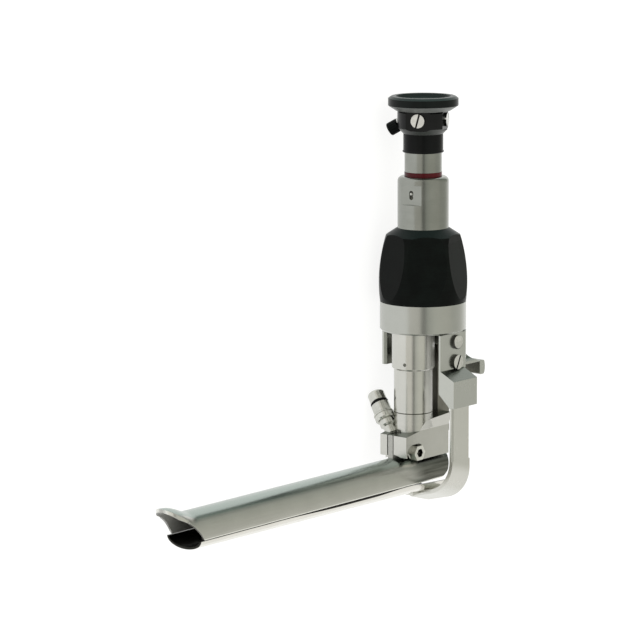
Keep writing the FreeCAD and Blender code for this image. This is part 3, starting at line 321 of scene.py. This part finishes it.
tube_steel = turned("tube steel", steel_light, steel_shade, 0.21, tube_axis, stain_and_painted_light=joint_stain)
socket_steel = turned("socket steel", steel_light, steel_shade, 0.21, tube_axis, stain_and_painted_light=dimple_painted_shade)
block_steel = turned("block steel", steel_light, steel_shade, 0.24, tube_axis, pitch=2500.0,
                     stain_and_painted_light=block_joint_and_painted_shade)
blasted(tube_steel, tube_mirror)
blasted(socket_steel, tube_mirror)
blasted(block_steel, block_mirror)
dress(tube_steel, "main_tube")
dress(socket_steel, "tube_socket")
dress(block_steel, "prism_block")

# A hexagon bolt with a washer and a nut draws the block's two cheeks onto the blade's fin. They are turned
# from steel bar and left bright, and the bolt's socket is painted dark as shade.
recess_painted_shade = (0.02, 0.02, 0.017)
dark_depth = 0.15 * mm


def head_side_painted_shade(centre, reach, colour=recess_painted_shade):
    """The sides of a head and of its slot lie nearer to the centre than its face does, and are painted dark
    as shade.
    """
    def stain_and_painted_light(place, tone):
        return outward(place, centre).within(reach - dark_depth, reach).mix(colour, tone)
    return stain_and_painted_light


even_grain = (900.0, 900.0, 900.0)
bright_steel = along("bright steel", (0.60, 0.605, 0.575), (0.50, 0.505, 0.475), 0.24, even_grain,
                     edge=0.12 * mm)
bolt_low, bolt_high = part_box("clamp_bolt")
bolt_reach = 2.5 * mm
bolt_steel = along("bolt steel", (0.85, 0.85, 0.80), (0.78, 0.78, 0.73), 0.2, even_grain,
                   stain_and_painted_light=head_side_painted_shade((bolt_low + bolt_high) / 2, bolt_reach))
dress(bolt_steel, "clamp_bolt")
dress(bright_steel, "clamp_washer", "clamp_nut")

# The support ring is a heavy ring of turned satin steel that the grip stands on. The handle above it
# has an axis of its own, behind the tube's.
ring_low, ring_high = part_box("support_ring")
handle_axis = Vector(((ring_low.x + ring_high.x) / 2, 0.0, (ring_low.z + ring_high.z) / 2))
ring_steel = turned("ring steel", (0.45, 0.46, 0.43), (0.43, 0.44, 0.41), 0.24, handle_axis)
dress(ring_steel, "support_ring")

# The grip is a barrel of black anodised aluminium, with finger flats milled in its side. Its shoulder has a
# painted reflection, a little lighter and greener.
grip_shoulder_painted_reflection = (0.010, 0.016, 0.015)
coarse_pitch = 2400.0


def grip_painted_reflection(place, tone):
    return facing(place).within(*looks_up).mix(tone, grip_shoulder_painted_reflection)


grip_black = turned("grip black", (0.005, 0.007, 0.006), (0.0035, 0.0042, 0.0038), 0.3, handle_axis,
                    depth=0.006 * mm, edge=0.25 * mm, metallic=0.0, pitch=coarse_pitch, shine=0.05,
                    stain_and_painted_light=grip_painted_reflection)
dress(grip_black, "grip")

# The upper body is turned steel with a rounded shoulder. A flat is milled in it, with a slot that
# holds the index pin.
body_steel = turned("body steel", (0.30, 0.31, 0.285), (0.265, 0.275, 0.25), 0.22, handle_axis)
dress(body_steel, "upper_body")
dress(bright_steel, "index_pin")

# A dark red enamelled ring marks the instrument's size, under a ring of the body's own steel that is
# bare here. Both are turned and slid onto the body.
red_enamel = turned("red enamel", (0.085, 0.003, 0.006), (0.06, 0.002, 0.004), 0.25, handle_axis,
                    metallic=0.0, shine=0.2)
dress(red_enamel, "code_ring")
dress(body_steel, "marking_ring")

# The sleeve and the collar carry the eyepiece. They are black anodised aluminium, and three bright
# slotted screws in the collar's side hold it.
looks_down, looks_straight_down = (-0.5, -0.2), (-0.95, -0.85)


def floor_painted_reflection(place, tone, grey):
    """Slopes that look down are painted grey as a reflection of the floor, and faces that look straight
    down aren't.
    """
    down = facing(place)
    return (down.within(*looks_down) + (1.0 - down.within(*looks_straight_down))).mix(grey, tone)


# The collar's slopes that look down carry a painted reflection of the floor.
def collar_painted_reflection(place, tone):
    return floor_painted_reflection(place, tone, (0.05, 0.055, 0.052))


anodised_light = (0.005, 0.0055, 0.0055)
anodised_shade = (0.003, 0.0035, 0.0035)
eyepiece_black = turned("eyepiece black", anodised_light, anodised_shade, 0.26, handle_axis, metallic=0.0,
                        shine=0.1)
collar_black = turned("collar black", anodised_light, anodised_shade, 0.26, handle_axis, metallic=0.0,
                      shine=0.2, stain_and_painted_light=collar_painted_reflection)
screw_reach = 11.35 * mm
# The collar screws' sides and slots are painted dark as shade.
screw_steel = along("collar screw steel", (0.80, 0.80, 0.78), (0.66, 0.66, 0.64), 0.22, even_grain,
                    stain_and_painted_light=head_side_painted_shade(handle_axis, screw_reach))
dress(eyepiece_black, "eyepiece_sleeve")
dress(collar_black, "eyepiece_collar")
dress(screw_steel, "collar_screws")

# The lock knob is a thumb knob of black anodised aluminium. It turns on a stem in the collar, and
# a bright washer lies under it.
knob_black = along("knob black", (0.008, 0.0095, 0.009), (0.005, 0.006, 0.006), 0.3, even_grain)
dress(knob_black, "lock_knob")
dress(bright_steel, "knob_washer")

# The eyepiece cup is a flanged funnel of hard black plastic, with a sealed window sunk in its mouth. The
# funnel has a painted reflection, a little lighter and greener, and the cone under the flange has a painted
# grey reflection of the floor.
funnel_painted_reflection = (0.022, 0.036, 0.034)
cone_painted_reflection = (0.17, 0.18, 0.175)


def cup_painted_reflection(place, tone):
    return facing(place).within(*looks_up).mix(floor_painted_reflection(place, tone, cone_painted_reflection), funnel_painted_reflection)


cup_black = turned("cup black", (0.006, 0.0085, 0.0075), (0.004, 0.0055, 0.005), 0.3, handle_axis,
                   metallic=0.0, pitch=coarse_pitch, shine=0.12, stain_and_painted_light=cup_painted_reflection)
dress(cup_black, "eyepiece_cup")

# The windows, lenses and prisms are ground and polished optical glass, with a thin greenish coating.
# Each one sits in its own tube or mount.
glass_tint, glass_clear = (0.80, 0.90, 0.86), (0.93, 0.96, 0.95)
glass, shader, place = surface("coated glass", {"Transmission Weight": 1.0, "IOR": 1.52})
smear = place.noise(400.0)
feed(shader, Base_Color=smear.mix(glass_tint, glass_clear), Roughness=0.02 + smear * 0.03)
dress(glass, "eyepiece_window", "ocular_lens", "offset_prism", "relay_lens", "distal_lens", "distal_window",
      "corner_prism")

# Inside the handle, the ocular tube and the mount of the offset prism are black anodised as the
# sleeve is, so that they throw no glare into the view.
dress(eyepiece_black, "ocular_tube", "prism_mount")

# The guide column behind the tube has a row of teeth that the lever's pawl catches. It is hardened steel,
# painted dark as the shade it stands in, and is set into the block.
column_painted_shade = along("column steel painted shade", (0.22, 0.215, 0.185), (0.18, 0.176, 0.15), 0.4, (900.0, 300.0, 900.0))
dress(column_painted_shade, "guide_column")

# The yoke is milled steel and rides on the column. Two slotted screws in its cheeks are the lever's
# pivots, and two plain pins above them stop it.
milled_grain = (400.0, 60.0, 400.0)
# The yoke's faces that look up are painted darker and greener as shade.
yoke_steel = along("yoke steel", (0.50, 0.51, 0.475), (0.49, 0.50, 0.465), 0.27, milled_grain,
                   spread=0.02, strength=0.02, stain_and_painted_light=top_painted_shade)
heads_low, heads_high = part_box("lever_screws")
head_reach = (heads_high.z - heads_low.z) / 2 - 0.25 * mm
# The heads' sides and slots are painted dark as shade.
head_steel = along("head steel", (0.72, 0.72, 0.68), (0.55, 0.55, 0.52), 0.24, even_grain,
                   stain_and_painted_light=head_side_painted_shade((heads_low + heads_high) / 2, head_reach, (0.10, 0.10, 0.09)))
dress(yoke_steel, "yoke")
dress(head_steel, "lever_screws", "stop_pins")
dress(bright_steel, "lever_spring")

# The thumb lever is milled from one block of the yoke's steel. It turns on the pivot screws, with
# its paddle behind the yoke.
dress(yoke_steel, "thumb_lever")

# A flat bar, bent under the blade, carries the lower blade, a shallow trough of rolled steel. The trough's
# inside is painted black as shade.
trough_inside_painted_shade = (0.03, 0.03, 0.026)
rim_gap_painted_shade = (0.03, 0.03, 0.025)
trough_rim = build_origin.y - 0.3 * mm
gap_shade_depth = 0.9 * mm
gap_shade_start, gap_shade_full = -105.0 * mm, -60.0 * mm
gap_shade_fading, gap_shade_end = -40.0 * mm, -14.0 * mm


def trough_painted_shade(place, tone):
    """The inside and the front edge are painted black as shade. Painted shade darkens the middle of the
    rim, where the gap between the blades lies.
    """
    steel = outer_side(place) * facing(place, "X").within(*rim_to_flank)
    tone = steel.mix(trough_inside_painted_shade, tone)
    length = place.part("X") - build_origin.x
    gap_shade_reach = length.within(gap_shade_start, gap_shade_full) * (1.0 - length.within(gap_shade_fading, gap_shade_end))
    depth = trough_rim - place.part("Y")
    return (gap_shade_reach - depth / gap_shade_depth).within(0.0, 0.15).mix(tone, rim_gap_painted_shade)


bar_steel = along("bar steel", (0.64, 0.64, 0.60), (0.62, 0.62, 0.58), 0.27, milled_grain, spread=0.02,
                  strength=0.02)
trough_steel = along("trough steel", (0.80, 0.79, 0.745), (0.76, 0.75, 0.705), 0.22, length_grain,
                     stain_and_painted_light=trough_painted_shade)
dress(bar_steel, "carrier_bar")
dress(trough_steel, "lower_blade")

# The light post leans out of the block, in three turned steps of bright steel. A rubber ring in its
# groove seals the cable's end.
post_steel = along("post steel", (0.60, 0.605, 0.565), (0.50, 0.505, 0.47), 0.17, even_grain)
rubber = along("seal rubber", (0.02, 0.02, 0.02), (0.015, 0.015, 0.015), 0.6, even_grain)
dress(post_steel, "post_base", "post_sleeve", "post_cap")
dress(rubber, "post_seal")

# The optic's bright steel tubes run down the tube and along the blade's roof, beside the fibre
# bundle, which has a black sheath.
dress(bright_steel, "relay_tube", "distal_tube")
dress(rubber, "light_guide")

# The part lies on a plain pale floor. The floor glows to the camera, in reflections and through glass,
# so that it is white there, and its own grey keeps the part's shadow on it soft.
floor_size = 6.0
floor_dark, floor_light = (0.23, 0.23, 0.23), (0.24, 0.24, 0.24)
floor_glow = (0.85, 0.85, 0.845)
bpy.ops.mesh.primitive_plane_add(size=floor_size, location=(0.0, 0.0, 0.0))
floor = bpy.context.object
floor.name = "floor"
floor_white, shader, place = surface("floor white", {"Roughness": 0.9, "Specular IOR Level": 0.0,
                                                     "Emission Strength": 1.0})
seen, mirrored, through = [place.node("ShaderNodeLightPath", out=name) for name in (
    "Is Camera Ray", "Is Glossy Ray", "Is Transmission Ray")]
shown = place.math("MAXIMUM", seen, place.math("MAXIMUM", mirrored, through))
feed(shader, Base_Color=place.noise(5.0, detail=2.0).mix(floor_dark, floor_light),
     Emission_Color=shown.mix((0.0, 0.0, 0.0), floor_glow))
floor.data.materials.append(floor_white)

# The camera stands at the photograph's angle: in front, to the left and a little above. The part lies
# on its side, so the picture's upright is the handle's own direction, +Y.
photo_width = 640.0
sensor = 36.0
focal_pixels = 3118.0
upright = Vector((0.0, 1.0, 0.0))
look_turn, look_drop, look_roll = math.radians(41.13), math.radians(9.79), math.radians(-0.24)
look_distance, look_height = 1.428, 60.0 * mm
look_right, look_up = -42.71 * mm, 13.35 * mm
forward = Vector((math.cos(look_drop) * math.cos(look_turn), -math.sin(look_drop),
                  -math.cos(look_drop) * math.sin(look_turn)))
side = forward.cross(upright).normalized()
above = side.cross(forward)
side, above = (side * math.cos(look_roll) + above * math.sin(look_roll),
               above * math.cos(look_roll) - side * math.sin(look_roll))
target = build_origin + upright * look_height + side * look_right + above * look_up
camera = bpy.data.objects.new("camera", bpy.data.cameras.new("camera"))
bpy.context.scene.collection.objects.link(camera)
camera.data.sensor_width = sensor
camera.data.lens = focal_pixels * sensor / photo_width
camera.data.clip_start, camera.data.clip_end = 0.05, 20.0
camera.matrix_world = Matrix.Translation(target - forward * look_distance) @ Matrix(
    (side, above, -forward)).transposed().to_4x4()
bpy.context.scene.camera = camera

# Two large soft lamps light the part, from above and from the left. They don't show in reflections,
# where the walls of the tent stand.
lamp_aim = Vector((0.0, 0.0, 0.05))


def softbox(name, place, size, watts):
    lamp = bpy.data.lights.new(name, "AREA")
    lamp.shape = "RECTANGLE"
    lamp.size, lamp.size_y = size
    lamp.energy = watts
    made = bpy.data.objects.new(name, lamp)
    made.location = place
    made.rotation_euler = (lamp_aim - Vector(place)).to_track_quat("-Z", "Y").to_euler()
    made.visible_glossy = False
    bpy.context.scene.collection.objects.link(made)


softbox("light over", (-0.35, 0.55, 1.1), (1.8, 1.8), 9.0)
softbox("light left", (-0.55, 0.9, 0.45), (1.2, 1.0), 3.0)

# Round the part stands a tent of pale walls. Seen from the part, it changes with the bearing from the
# camera, which looks in through a narrow gap, and behind the part it changes with the height.
world = bpy.data.worlds.new("studio")
bpy.context.scene.world = world
world.use_nodes = True
direction = Socket(world.node_tree).node("ShaderNodeTexCoord", out="Generated")
level = Vector((forward.x, 0.0, forward.z)).normalized()


def part_along(axis):
    return direction.vector("DOT_PRODUCT", tuple(axis), "Value")


def turn_share(first, second):
    """The angle whose sine and cosine are given, as a share of a whole turn round 0.5."""
    return first.math("ARCTAN2", first, second) / (2 * math.pi) + 0.5


def at_degrees(stops):
    return [(0.5 + degrees / 360.0, colour) for degrees, colour in stops]


bearing = turn_share(part_along(level.cross(upright)), part_along(-level))
rise = turn_share(part_along(upright), part_along((0.0, 0.0, 1.0)))
gap = (0.27, 0.27, 0.25)
crease = (0.33, 0.35, 0.32)
pale = (0.97, 0.96, 0.93)
wall_end = (0.72, 0.72, 0.68)
roof_end = (0.80, 0.86, 0.80)
walls = bearing.ramp(at_degrees((
    (-180, wall_end), (-60, (0.86, 0.84, 0.79)), (-9, (0.84, 0.82, 0.76)), (-5, gap), (5, gap),
    (9, (0.58, 0.59, 0.54)), (32, (0.74, 0.74, 0.67)), (70, (0.72, 0.71, 0.64)),
    (120, (0.50, 0.50, 0.45)), (180, wall_end))))
behind = rise.ramp(at_degrees((
    (-180, roof_end), (-120, pale), (-45, pale), (-15, (0.64, 0.64, 0.585)), (25, (0.55, 0.56, 0.50)),
    (64, (0.44, 0.46, 0.41)), (66, crease), (69, crease), (80, (0.22, 0.27, 0.24)),
    (94, (0.50, 0.61, 0.54)), (110, (0.58, 0.71, 0.62)), (180, roof_end))))
rear_start, rear_full = 0.42, 0.6
below_start, below_full = 0.3, 0.7
tent = part_along((1.0, 0.0, 0.0)).within(rear_start, rear_full).mix(walls, behind)
tent = part_along(-upright).within(below_start, below_full).mix(tent, pale)
to_camera = direction.node("ShaderNodeLightPath", out="Is Camera Ray").mix(tent, (1.0, 1.0, 1.0))
world.node_tree.links.new(to_camera.output, world.node_tree.nodes["Background"].inputs["Color"])

bpy.context.scene.view_settings.view_transform = "Standard"
